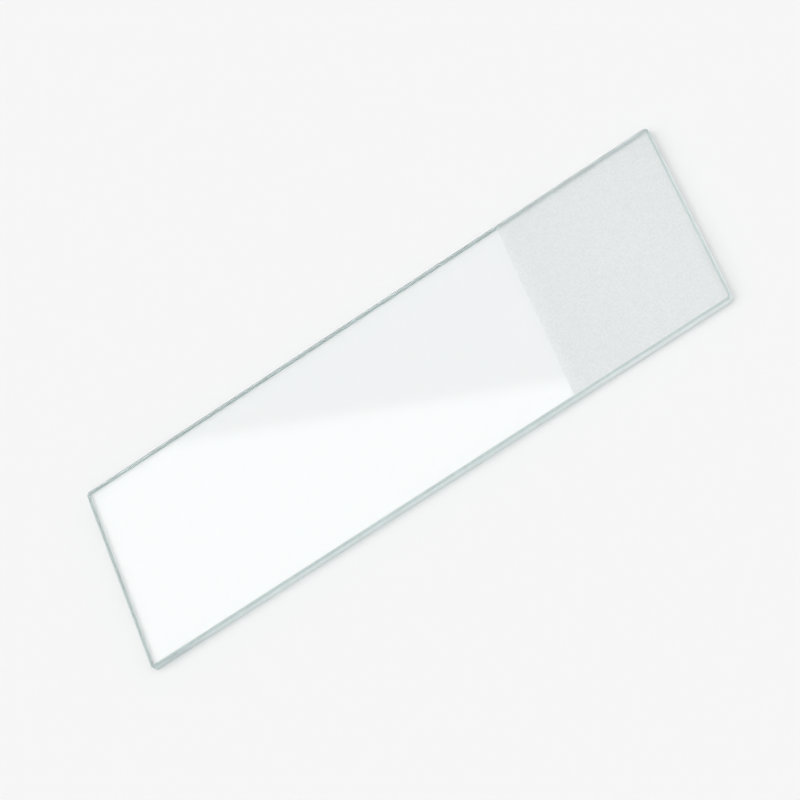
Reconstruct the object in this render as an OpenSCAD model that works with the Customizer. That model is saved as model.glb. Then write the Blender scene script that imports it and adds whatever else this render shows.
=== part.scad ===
// Microscope slide: one flat plate of soda-lime glass with ground edges
// and one end frosted on its upper face for writing on.
//
// Frame: origin under the middle of the plate, +X along its length towards
// the frosted end, +Y across its width, +Z up through the frosted face.
// All sizes are in millimetres.

/* [Plate] */
// Length of the plate, end to end
slide_length = 76.2; // [50:0.1:100]
// Width of the plate, edge to edge
slide_width = 25.4; // [18:0.1:52]
// Thickness of the glass
slide_thickness = 1.1; // [0.9:0.05:1.4]

/* [Ground edges] */
// Leg of the bevel ground along every long and short edge, on both faces
edge_bevel = 0.2; // [0.05:0.01:0.4]
// Leg of the flat that takes off each upright corner of the plate
corner_flat = 0.3; // [0.1:0.05:1.5]

/* [Frosted end] */
// Length of the frosted patch, measured from the end of the plate
frosted_length = 20; // [10:0.5:30]
// Depth of glass that frosting takes off the upper face
frosted_depth = 0.02; // [0.01:0.005:0.05]

/* [Colours] */
// Colour of the clear glass, as red, green, blue and opacity
glass_colour = [0.80, 0.91, 0.91, 0.6];

/* [Hidden] */

// Distance across the plate between two opposite corner flats
across_corners = sqrt(2) * (slide_length / 2 + slide_width / 2 - corner_flat);
// Any cutter reaches this far past the plate, so that it leaves no skin
overrun = 1;
// Longer than the plate in any direction across it
stock_length = slide_length + slide_width;
// Upper face of the plate once the patch is frosted
frosted_top = slide_thickness - frosted_depth;

// Section of the plate between two opposite ground edges, with its four bevels
module bevelled_section(across) {
    half = across / 2;
    polygon([
        [-half + edge_bevel, 0],
        [half - edge_bevel, 0],
        [half, edge_bevel],
        [half, slide_thickness - edge_bevel],
        [half - edge_bevel, slide_thickness],
        [-half + edge_bevel, slide_thickness],
        [-half, slide_thickness - edge_bevel],
        [-half, edge_bevel]
    ]);
}

// A long bar with that section, whose two ground edges face left and right of heading
module ground_pair(across, heading) {
    rotate([0, 0, heading])
        rotate([90, 0, 0])
            linear_extrude(height = stock_length, center = true)
                bevelled_section(across);
}

// The plate before frosting: each ground edge, and each corner flat, has its bevels
module ground_plate() {
    intersection() {
        ground_pair(slide_length, 0);
        ground_pair(slide_width, 90);
        ground_pair(across_corners, 45);
        ground_pair(across_corners, -45);
    }
}

// Thin layer that frosting takes off the upper face, over the full width of one end
module frosting_cut() {
    translate([slide_length / 2 - frosted_length, -slide_width / 2 - overrun, frosted_top])
        cube([frosted_length + overrun, slide_width + 2 * overrun, overrun]);
}

module glass_slide() {
    color(glass_colour)
        difference() {
            ground_plate();
            frosting_cut();
        }
}

glass_slide();
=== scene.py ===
"""Microscope slide, dressed for its pictures: one plate of glass, ground round its edges.

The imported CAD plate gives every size. A finer plate with softened arrises takes its place, and each
area of it gets its own finish: the polished faces, the ground walls, the ground seams between a wall
and the faces, and the frosted end that is written on.
"""
import logging
import math
from dataclasses import dataclass
from enum import Enum

import bmesh
import bpy
from mathutils import Euler, Matrix, Vector, noise


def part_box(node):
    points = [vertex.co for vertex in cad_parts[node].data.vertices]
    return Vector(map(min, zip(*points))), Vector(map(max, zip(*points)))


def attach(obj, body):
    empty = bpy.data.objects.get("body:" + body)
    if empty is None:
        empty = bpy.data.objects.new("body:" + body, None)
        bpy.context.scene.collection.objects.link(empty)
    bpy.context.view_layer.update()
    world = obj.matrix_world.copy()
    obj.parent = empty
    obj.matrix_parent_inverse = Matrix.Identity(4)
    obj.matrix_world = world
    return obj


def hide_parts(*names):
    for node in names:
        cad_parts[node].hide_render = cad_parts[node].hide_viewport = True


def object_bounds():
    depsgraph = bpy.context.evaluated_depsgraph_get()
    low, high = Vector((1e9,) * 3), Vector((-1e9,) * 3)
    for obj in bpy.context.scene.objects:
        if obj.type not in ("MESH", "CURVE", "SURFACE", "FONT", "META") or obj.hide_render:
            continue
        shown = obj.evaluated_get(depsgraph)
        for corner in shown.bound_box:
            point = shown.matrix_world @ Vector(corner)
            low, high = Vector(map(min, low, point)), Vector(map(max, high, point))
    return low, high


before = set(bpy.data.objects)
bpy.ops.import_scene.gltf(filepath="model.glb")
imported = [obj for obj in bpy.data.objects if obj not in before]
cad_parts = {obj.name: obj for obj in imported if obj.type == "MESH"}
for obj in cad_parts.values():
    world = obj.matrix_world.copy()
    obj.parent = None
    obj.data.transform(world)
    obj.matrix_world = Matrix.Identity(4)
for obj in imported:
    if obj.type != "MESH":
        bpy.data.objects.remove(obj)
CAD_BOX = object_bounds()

MM = 0.001
UP = Vector((0.0, 0.0, 1.0))
# Places closer together than this are one place
TOUCHING = 0.001 * MM
# The middle of a noise, which runs from 0 to 1
NOISE_MIDDLE = 0.5
# A count of bounces below this is none
NO_BOUNCE = 0.5
NODE = "glass_slide"

log = logging.getLogger("slide")

Colour = tuple[float, float, float]
Node = bpy.types.Node
Socket = bpy.types.NodeSocket
BMesh = bmesh.types.BMesh
BMEdge = bmesh.types.BMEdge


class Area(Enum):
    """Areas of the plate that have a finish of their own, by material index."""

    POLISHED = 0
    WALL = 1
    SEAM = 2
    FROSTED = 3


# ---------------------------------------------------------------- shader helpers


class Tree:
    """Short calls for building one node tree.

    Args:
        tree: the node tree to fill, which is emptied first.
    """

    def __init__(self, tree: bpy.types.NodeTree) -> None:
        """Empties the tree and keeps it."""
        self.tree = tree
        tree.nodes.clear()

    def node(self, kind: str, values: dict[str, object] | None = None, **settings: object) -> Node:
        """Adds a node.

        Args:
            kind: the node's type, less its ShaderNode prefix where it has one.
            values: numbers, colours and vectors for its inputs, by the input's name.
            settings: attributes to set on it, before its inputs.

        Returns:
            The new node.
        """
        made = self.tree.nodes.new(kind if kind.startswith("Node") else "ShaderNode" + kind)
        for name, value in settings.items():
            setattr(made, name, value)
        for name, value in (values or {}).items():
            made.inputs[name].default_value = value
        return made

    def join(self, source: Socket, target: Socket) -> None:
        """Links one socket to another."""
        self.tree.links.new(source, target)

    def maths(self, operation: str, *terms: float | Socket) -> Socket:
        """Adds a Math node.

        Args:
            operation: the operation, by its identifier.
            terms: what it works on, each a number or the socket that gives one.

        Returns:
            The node's output.
        """
        made = self.node("Math", operation=operation)
        for socket, term in zip(made.inputs, terms):
            if isinstance(term, (int, float)):
                socket.default_value = term
            else:
                self.join(term, socket)
        return made.outputs[0]

    def along(self, source: Socket, axis: Vector) -> Socket:
        """Measures a vector along an axis.

        Args:
            source: the vector's socket.
            axis: a unit vector.

        Returns:
            The length of the vector along the axis.
        """
        made = self.node("VectorMath", operation="DOT_PRODUCT")
        self.join(source, made.inputs[0])
        made.inputs[1].default_value = axis
        return made.outputs["Value"]

    def ramp(self, source: Socket, none_at: float, full_at: float, kind: str = "LINEAR") -> Socket:
        """Turns a value into a share from 0 to 1.

        Args:
            source: the value's socket.
            none_at: the value at which the share is 0.
            full_at: the value at which the share is 1.
            kind: the way from one to the other, by its identifier.

        Returns:
            The share.
        """
        made = self.node("MapRange", {"From Min": none_at, "From Max": full_at}, interpolation_type=kind)
        self.join(source, made.inputs["Value"])
        return made.outputs["Result"]


def new_material(name: str) -> tuple[bpy.types.Material, Tree]:
    """Starts a material.

    Args:
        name: the material's name.

    Returns:
        The material and its empty tree.
    """
    made = bpy.data.materials.new(name)
    made.use_nodes = True
    return made, Tree(made.node_tree)


# ---------------------------------------------------------------- finishes


@dataclass(frozen=True)
class GlassGrain:
    """The fine pits that grinding or blasting leaves in glass, shared by each finish that has them.

    Attributes:
        detail: how many finer layers the pits have.
        harshness: how strong each finer layer is next to the one before.
        cloud_detail: how many finer layers the slow change from place to place has.
        cloud_share: how many clouds there are for each pit, along a line.
        rim: the height, from 0 to 1, above which there is no pit.
        floor: the height below which a pit is as deep as it gets.
    """

    detail: float = 3.0
    harshness: float = 0.6
    cloud_detail: float = 2.0
    cloud_share: float = 0.06
    rim: float = 0.65
    floor: float = 0.35

    def group(self) -> bpy.types.NodeTree:
        """Builds the shader node group.

        Returns:
            A group with the inputs Pits Per Metre, Stretch (below 1 draws the pits out along the plate),
            Roughness and Spread, and the outputs Height, Roughness and Pitting (0 between the pits, 1 in
            the deepest).
        """
        group = bpy.data.node_groups.new("glass_grain", "ShaderNodeTree")
        for title in ("Pits Per Metre", "Stretch", "Roughness", "Spread"):
            group.interface.new_socket(title, in_out="INPUT", socket_type="NodeSocketFloat")
        for title in ("Height", "Roughness", "Pitting"):
            group.interface.new_socket(title, in_out="OUTPUT", socket_type="NodeSocketFloat")
        tree = Tree(group)
        given = tree.node("NodeGroupInput").outputs
        made = tree.node("NodeGroupOutput").inputs
        place = tree.node("TexCoord").outputs["Object"]
        squeeze = tree.node("CombineXYZ", {"Y": 1.0, "Z": 1.0})
        tree.join(given["Stretch"], squeeze.inputs["X"])
        squeezed = tree.node("VectorMath", operation="MULTIPLY")
        tree.join(place, squeezed.inputs[0])
        tree.join(squeeze.outputs[0], squeezed.inputs[1])
        pits = tree.node("TexNoise", {"Detail": self.detail, "Roughness": self.harshness})
        tree.join(squeezed.outputs[0], pits.inputs["Vector"])
        tree.join(given["Pits Per Metre"], pits.inputs["Scale"])
        clouds = tree.node("TexNoise", {"Detail": self.cloud_detail})
        tree.join(place, clouds.inputs["Vector"])
        slower = tree.maths("MULTIPLY", given["Pits Per Metre"], self.cloud_share)
        tree.join(slower, clouds.inputs["Scale"])
        height = pits.outputs["Fac"]
        both = tree.maths("ADD", height, clouds.outputs["Fac"])
        uneven = tree.maths("SUBTRACT", both, 2 * NOISE_MIDDLE)
        change = tree.maths("MULTIPLY", uneven, given["Spread"])
        tree.join(height, made["Height"])
        tree.join(tree.maths("ADD", given["Roughness"], change), made["Roughness"])
        tree.join(tree.ramp(height, self.rim, self.floor), made["Pitting"])
        return group


@dataclass(frozen=True)
class GlassFinish:
    """One finish of the plate's glass.

    Attributes:
        name: the material's name.
        tint: the colour that light takes on at the surface.
        clearness: the share of light that passes, where the rest is scattered back.
        roughness: 0 for polished glass, 1 for the dullest.
        index: how strongly the glass bends light.
        pits_per_metre: pits along one metre, or 0 where there are none.
        stretch: below 1 draws the pits out along the plate, as a grinding wheel does.
        spread: how much the roughness changes from place to place.
        pit_depth: the pits' depth.
        pit_painted_shade: how much darker the deepest pits are painted, as painted shade in their
            hollows.
    """

    name: str
    tint: Colour
    clearness: float
    roughness: float
    index: float = 1.52
    pits_per_metre: float = 0.0
    stretch: float = 1.0
    spread: float = 0.0
    pit_depth: float = 0.0
    pit_painted_shade: float = 0.0

    def material(self, grain: bpy.types.NodeTree) -> bpy.types.Material:
        """Builds the material.

        Args:
            grain: the shared grain group, placed where the finish has pits.

        Returns:
            The material.
        """
        made, tree = new_material(self.name)
        glass = tree.node("BsdfPrincipled", {
            "Base Color": (*self.tint, 1.0),
            "Roughness": self.roughness,
            "IOR": self.index,
            "Transmission Weight": self.clearness,
        })
        tree.join(glass.outputs[0], tree.node("OutputMaterial").inputs["Surface"])
        if self.pits_per_metre:
            self.add_pits(tree, glass, grain)
        return made

    def add_pits(self, tree: Tree, glass: Node, grain: bpy.types.NodeTree) -> None:
        """Roughens a glass shader with the shared grain, and darkens its deepest pits as painted shade.

        Args:
            tree: the material's tree.
            glass: its Principled shader.
            grain: the grain group.
        """
        pits = tree.node("Group", node_tree=grain)
        pits.inputs["Pits Per Metre"].default_value = self.pits_per_metre
        pits.inputs["Stretch"].default_value = self.stretch
        pits.inputs["Roughness"].default_value = self.roughness
        pits.inputs["Spread"].default_value = self.spread
        tree.join(pits.outputs["Roughness"], glass.inputs["Roughness"])
        bump = tree.node("Bump", {"Distance": self.pit_depth})
        tree.join(pits.outputs["Height"], bump.inputs["Height"])
        tree.join(bump.outputs["Normal"], glass.inputs["Normal"])
        # Painted shade: the base colour is darkened in the deepest pits, standing in for the shade in
        # their hollows
        painted_shade_tint = tuple(part * (1.0 - self.pit_painted_shade) for part in self.tint)
        shade = tree.node("Mix", {"A": (*self.tint, 1.0), "B": (*painted_shade_tint, 1.0)}, data_type="RGBA")
        tree.join(pits.outputs["Pitting"], shade.inputs["Factor"])
        tree.join(shade.outputs["Result"], glass.inputs["Base Color"])


# Each finish's darkening of its pits below is painted shade in their hollows, not a colour of the glass
FINISHES = {
    Area.POLISHED: GlassFinish("polished_face", tint=(0.984, 0.996, 0.995), clearness=1.0, roughness=0.0),
    Area.WALL: GlassFinish(
        "ground_wall",
        tint=(0.885, 0.962, 0.957),
        clearness=0.85,
        roughness=0.35,
        pits_per_metre=9000.0,
        stretch=0.25,
        spread=0.1,
        pit_depth=0.02 * MM,
        pit_painted_shade=0.04,
    ),
    Area.SEAM: GlassFinish(
        "ground_seam",
        tint=(0.585, 0.69, 0.685),
        clearness=0.6,
        roughness=0.5,
        pits_per_metre=9000.0,
        stretch=0.3,
        spread=0.25,
        pit_depth=0.02 * MM,
        pit_painted_shade=0.15,
    ),
    Area.FROSTED: GlassFinish(
        "frosted_end",
        tint=(0.93, 0.945, 0.945),
        clearness=0.95,
        roughness=0.45,
        pits_per_metre=4000.0,
        spread=0.2,
        pit_depth=0.03 * MM,
        pit_painted_shade=0.13,
    ),
}


# ---------------------------------------------------------------- the plate


@dataclass(frozen=True)
class PlateSizes:
    """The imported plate's own sizes, in metres.

    Attributes:
        low: its lowest corner.
        high: its highest corner.
        bevel: the leg of the bevel along each edge of both faces.
        corner: the leg of the flat on each upright corner.
        frost_start: where along the plate the frosted patch starts.
        frost_depth: how far the patch lies below the clear face.
    """

    low: Vector
    high: Vector
    bevel: float
    corner: float
    frost_start: float
    frost_depth: float

    @classmethod
    def measured(cls, node: bpy.types.Object) -> "PlateSizes":
        """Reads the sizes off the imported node.

        Args:
            node: the CAD plate.

        Returns:
            Its sizes.
        """
        low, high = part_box(NODE)
        spots = [v.co for v in node.data.vertices]
        underside = [p for p in spots if p.z < low.z + TOUCHING]
        clear_face = [p for p in spots if p.z > high.z - TOUCHING]
        frosted_wall = [p for p in spots if p.x > high.x - TOUCHING]
        frost_start = max(p.x for p in clear_face)
        frosted_part = [p for p in spots if p.x > frost_start + TOUCHING]
        return cls(
            low=low,
            high=high,
            bevel=high.y - max(p.y for p in underside),
            corner=high.y - max(p.y for p in frosted_wall),
            frost_start=frost_start,
            frost_depth=high.z - max(p.z for p in frosted_part),
        )


@dataclass(frozen=True)
class SlidePlate:
    """The slide: one plate of glass, ground round its edges and frosted at one end.

    Attributes:
        sizes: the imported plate's sizes.
        arris: the leg of the small rounding on every edge that grinding leaves.
        arris_segments: how many flats make up that rounding.
        level: how squarely a face must look up or down to be a polished one.
        upright: how little a face may look up or down and still be a wall.
        mask_step: the width of the slope down to the frosted patch.
        mask_cuts: the cuts across the plate along the patch's line.
        mask_wander: how far the line strays from straight.
        mask_waves_per_metre: how often it strays, across the plate.
    """

    sizes: PlateSizes
    arris: float = 0.03 * MM
    arris_segments: int = 2
    level: float = 0.999
    upright: float = 0.1
    mask_step: float = 0.03 * MM
    mask_cuts: int = 90
    mask_wander: float = 0.035 * MM
    mask_waves_per_metre: float = 900.0

    def build(self) -> bpy.types.Object:
        """Builds and dresses the plate, and puts it in the CAD plate's place.

        Returns:
            The finished piece.
        """
        bm = bmesh.new()
        self.cut_blank(bm)
        self.grind_edges(bm)
        self.mark_ground(bm)
        self.frost_end(bm)
        mesh = bpy.data.meshes.new("slide_plate")
        bm.to_mesh(mesh)
        bm.free()
        grain = GlassGrain().group()
        for area in Area:
            mesh.materials.append(FINISHES[area].material(grain))
        piece = bpy.data.objects.new("slide_plate", mesh)
        bpy.context.scene.collection.objects.link(piece)
        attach(piece, "root")
        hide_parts(NODE)
        return piece

    def cut_blank(self, bm: BMesh) -> None:
        """Makes the plain plate and takes off its four upright corners.

        Args:
            bm: the empty mesh to fill.
        """
        size = self.sizes.high - self.sizes.low
        middle = (self.sizes.high + self.sizes.low) / 2
        place = Matrix.Translation(middle) @ Matrix.Diagonal((*size, 1.0))
        bmesh.ops.create_cube(bm, size=1.0, matrix=place)
        corners = [e for e in bm.edges if abs(e.verts[0].co.z - e.verts[1].co.z) > TOUCHING]
        self.cut_bevel(bm, corners, self.sizes.corner, segments=1)

    def grind_edges(self, bm: BMesh) -> None:
        """Grinds the bevels round both faces, then softens every arris.

        Args:
            bm: the plate's mesh.
        """
        rims = [e for e in bm.edges if abs(e.verts[0].co.z - e.verts[1].co.z) < TOUCHING]
        self.cut_bevel(bm, rims, self.sizes.bevel, segments=1)
        self.cut_bevel(bm, list(bm.edges), self.arris, segments=self.arris_segments)

    def cut_bevel(self, bm: BMesh, edges: list[BMEdge], leg: float, segments: int) -> None:
        """Cuts a bevel along some edges.

        Args:
            bm: the plate's mesh.
            edges: the edges to cut.
            leg: how far the cut reaches into the faces beside each edge.
            segments: how many flats make up the cut.
        """
        bmesh.ops.bevel(
            bm,
            geom=edges,
            offset=leg,
            offset_type="OFFSET",
            segments=segments,
            profile=0.5,
            affect="EDGES",
            clamp_overlap=True,
            material=-1,
        )

    def mark_ground(self, bm: BMesh) -> None:
        """Tells the polished faces, the ground walls and the ground seams apart by the way they look.

        Args:
            bm: the plate's mesh, before frosting.
        """
        bm.normal_update()
        for face in bm.faces:
            facing = abs(face.normal.z)
            if facing > self.level:
                area = Area.POLISHED
            elif facing < self.upright:
                area = Area.WALL
            else:
                area = Area.SEAM
            face.material_index = area.value

    def frost_end(self, bm: BMesh) -> None:
        """Frosts one end of the upper face, up to the slightly wandering line of the mask.

        Args:
            bm: the plate's mesh.
        """
        start = self.sizes.frost_start
        end = start + self.mask_step
        self.cut_mask_line(bm, (start, end))
        frosted_top = self.sizes.high.z - self.sizes.frost_depth
        for vert in bm.verts:
            if vert.co.x > end - TOUCHING:
                vert.co.z = min(vert.co.z, frosted_top)
        for face in bm.faces:
            above = all(v.co.z > frosted_top - TOUCHING for v in face.verts)
            if above and face.calc_center_median().x > start:
                face.material_index = Area.FROSTED.value
        for vert in bm.verts:
            if vert.co.z > frosted_top - TOUCHING and start - TOUCHING < vert.co.x < end + TOUCHING:
                sway = noise.noise(Vector((vert.co.y * self.mask_waves_per_metre, 0.0, 0.0)))
                vert.co.x += sway * self.mask_wander

    def cut_mask_line(self, bm: BMesh, places: tuple[float, float]) -> None:
        """Cuts the plate across at the top and foot of the mask's slope, finely on the upper face.

        Args:
            bm: the plate's mesh.
            places: where along the plate the two cuts go.
        """
        for x in places:
            bmesh.ops.bisect_plane(
                bm,
                geom=[*bm.verts, *bm.edges, *bm.faces],
                plane_co=(x, 0.0, 0.0),
                plane_no=(1.0, 0.0, 0.0),
            )
        top = self.sizes.high.z - TOUCHING
        lines = [
            e
            for e in bm.edges
            if all(v.co.z > top for v in e.verts)
            and any(all(abs(v.co.x - x) < TOUCHING for v in e.verts) for x in places)
        ]
        bmesh.ops.subdivide_edges(bm, edges=lines, cuts=self.mask_cuts, use_grid_fill=True)


# ---------------------------------------------------------------- studio


@dataclass(frozen=True)
class Softbox:
    """A four-sided patch of light in the surroundings, whose edge the polished faces mirror.

    Attributes:
        azimuth: the direction of its middle, round from +X.
        height: how high its middle stands.
        roll: how far it is turned about its middle.
        half_width: half the angle that it spans.
        half_height: half the angle that it spans from foot to top.
        soft_edge: half the angle over which its edge fades.
        level: how much light it adds.
    """

    azimuth: float = math.radians(168.0)
    height: float = math.radians(48.0)
    roll: float = math.radians(10.0)
    half_width: float = math.radians(30.0)
    half_height: float = math.radians(30.0)
    soft_edge: float = math.radians(0.15)
    level: float = 0.9

    def axes(self) -> tuple[Vector, Vector, Vector]:
        """Works out how the patch stands.

        Returns:
            The unit vectors towards its middle, across it and up it.
        """
        turn = Matrix.Rotation(self.azimuth, 3, "Z") @ Matrix.Rotation(-self.height, 3, "Y")
        turn = turn @ Matrix.Rotation(self.roll, 3, "X")
        return turn.col[0], turn.col[1], turn.col[2]

    def light(self, tree: Tree) -> Socket:
        """Adds the patch to the surroundings.

        Args:
            tree: the world's node tree.

        Returns:
            How much light the patch adds in each direction.
        """
        towards, across, upward = self.axes()
        looking = tree.node("TexCoord").outputs["Generated"]
        ahead = tree.along(looking, towards)
        inside = tree.maths("GREATER_THAN", ahead, 0.0)
        for axis, half in ((across, self.half_width), (upward, self.half_height)):
            off = tree.maths("ABSOLUTE", tree.maths("DIVIDE", tree.along(looking, axis), ahead))
            outer, inner = math.tan(half + self.soft_edge), math.tan(half - self.soft_edge)
            inside = tree.maths("MULTIPLY", inside, tree.ramp(off, outer, inner, "SMOOTHSTEP"))
        return tree.maths("MULTIPLY", inside, self.level)


@dataclass(frozen=True)
class Studio:
    """A pale floor that runs out to a backdrop of its own tone, under soft light.

    Attributes:
        floor_colour: the floor's colour.
        floor_reach: how far the floor runs each way.
        air_film: the gap that a plate of glass leaves where it lies.
        sky_level: the light from all round.
        backdrop_level: how light the backdrop looks, which is as light as the floor.
        backdrop_foot: the height up to which the backdrop is plain.
        backdrop_top: the height by which it has faded into the sky.
        softbox: the patch of light that the faces mirror.
        fill_level: the lamp's strength.
        fill_angle: the angle that the lamp spans.
        fill_azimuth: the way that the lamp is turned.
        fill_height: how high the lamp stands.
    """

    floor_colour: Colour = (0.93, 0.93, 0.93)
    floor_reach: float = 20.0
    air_film: float = 0.02 * MM
    sky_level: float = 0.725
    backdrop_level: float = 0.925
    backdrop_foot: float = math.radians(20.0)
    backdrop_top: float = math.radians(45.0)
    softbox: Softbox = Softbox()
    fill_level: float = 0.3
    fill_angle: float = math.radians(100.0)
    fill_azimuth: float = math.radians(75.0)
    fill_height: float = math.radians(50.0)

    def build(self) -> None:
        """Builds the floor, the surroundings and the lamp."""
        self.lay_floor()
        self.surround()
        self.hang_fill()

    def lay_floor(self) -> None:
        """Lays the floor just under the plate."""
        bm = bmesh.new()
        bmesh.ops.create_grid(bm, x_segments=1, y_segments=1, size=self.floor_reach)
        bmesh.ops.translate(bm, verts=bm.verts, vec=(0.0, 0.0, CAD_BOX[0][2] - self.air_film))
        mesh = bpy.data.meshes.new("floor")
        bm.to_mesh(mesh)
        bm.free()
        paint, tree = new_material("floor_paint")
        matt = tree.node("BsdfDiffuse", {"Color": (*self.floor_colour, 1.0)})
        tree.join(matt.outputs[0], tree.node("OutputMaterial").inputs["Surface"])
        mesh.materials.append(paint)
        floor = bpy.data.objects.new("floor", mesh)
        bpy.context.scene.collection.objects.link(floor)

    def surround(self) -> None:
        """Lights the scene from all round."""
        world = bpy.data.worlds.new("studio")
        world.use_nodes = True
        bpy.context.scene.world = world
        tree = Tree(world.node_tree)
        light = tree.node("Background", {"Color": (1.0, 1.0, 1.0, 1.0)})
        strength = tree.maths("ADD", self.plain_light(tree), self.softbox.light(tree))
        tree.join(strength, light.inputs["Strength"])
        tree.join(light.outputs[0], tree.node("OutputWorld").inputs["Surface"])

    def plain_light(self, tree: Tree) -> Socket:
        """Makes the even light, and the pale backdrop that the eye, mirrors and glass see instead of it.

        Args:
            tree: the world's node tree.

        Returns:
            How much light there is in each direction.
        """
        path = tree.node("LightPath").outputs
        seen = tree.maths("MAXIMUM", path["Is Camera Ray"], path["Is Glossy Ray"])
        seen = tree.maths("MAXIMUM", seen, path["Is Transmission Ray"])
        straight = tree.maths("LESS_THAN", path["Diffuse Depth"], NO_BOUNCE)
        height = tree.along(tree.node("TexCoord").outputs["Generated"], UP)
        low = tree.ramp(height, math.sin(self.backdrop_top), math.sin(self.backdrop_foot), "SMOOTHSTEP")
        backdrop = tree.maths("MULTIPLY", tree.maths("MULTIPLY", seen, straight), low)
        added = tree.maths("MULTIPLY", backdrop, self.backdrop_level - self.sky_level)
        return tree.maths("ADD", added, self.sky_level)

    def hang_fill(self) -> None:
        """Hangs the one broad lamp, which lights the near edges."""
        lamp = bpy.data.lights.new("fill", "SUN")
        lamp.energy = self.fill_level
        lamp.angle = self.fill_angle
        fill = bpy.data.objects.new("fill", lamp)
        fill.rotation_euler = Euler((math.pi / 2 - self.fill_height, 0.0, self.fill_azimuth), "XYZ")
        bpy.context.scene.collection.objects.link(fill)


@dataclass(frozen=True)
class Viewpoint:
    """Where the camera stands, round the middle of the slide.

    Attributes:
        azimuth: how far round from the slide's near long edge.
        elevation: how high.
        roll: how far the camera is turned about its line of sight.
        distance: how far from the slide's middle.
        lens: the lens's length in millimetres.
        nearest: the nearest that it sees.
        farthest: the farthest that it sees.
    """

    azimuth: float = math.radians(20.8)
    elevation: float = math.radians(51.5)
    roll: float = math.radians(49.5)
    distance: float = 0.487
    lens: float = 200.0
    nearest: float = 0.01
    farthest: float = 50.0

    def build(self) -> None:
        """Makes the camera and hands it to the scene."""
        low, high = CAD_BOX
        middle = (Vector(low) + Vector(high)) / 2
        back = Vector((
            math.sin(self.azimuth) * math.cos(self.elevation),
            -math.cos(self.azimuth) * math.cos(self.elevation),
            math.sin(self.elevation),
        ))
        data = bpy.data.cameras.new("camera")
        data.lens = self.lens
        data.clip_start = self.nearest
        data.clip_end = self.farthest
        camera = bpy.data.objects.new("camera", data)
        place = Matrix.Translation(middle + back * self.distance)
        level = (-back).to_track_quat("-Z", "Y").to_matrix().to_4x4()
        camera.matrix_world = place @ level @ Matrix.Rotation(-self.roll, 4, "Z")
        bpy.context.scene.collection.objects.link(camera)
        bpy.context.scene.camera = camera


@dataclass(frozen=True)
class LightInGlass:
    """How far the renderer follows light in the plate.

    Attributes:
        blur: how much a path may be blurred, where 0 keeps what is seen through the plate sharp.
        bounces: the most bounces, enough for light to run along in the plate until it leaves at an edge.
    """

    blur: float = 0.0
    bounces: int = 64

    def apply(self) -> None:
        """Sets the limits on the scene."""
        cycles = bpy.context.scene.cycles
        cycles.blur_glossy = self.blur
        cycles.max_bounces = self.bounces
        cycles.transmission_bounces = self.bounces
        cycles.glossy_bounces = self.bounces


def main() -> None:
    """Builds the camera, the plate and the studio, in that order."""
    logging.basicConfig(level=logging.INFO, format="%(name)s: %(message)s")
    Viewpoint().build()
    sizes = PlateSizes.measured(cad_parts[NODE])
    log.info("%s", sizes)
    piece = SlidePlate(sizes).build()
    log.info("%s: %d faces", piece.name, len(piece.data.polygons))
    Studio().build()
    bpy.context.scene.view_settings.view_transform = "Standard"
    LightInGlass().apply()


if __name__ == "__main__":
    main()
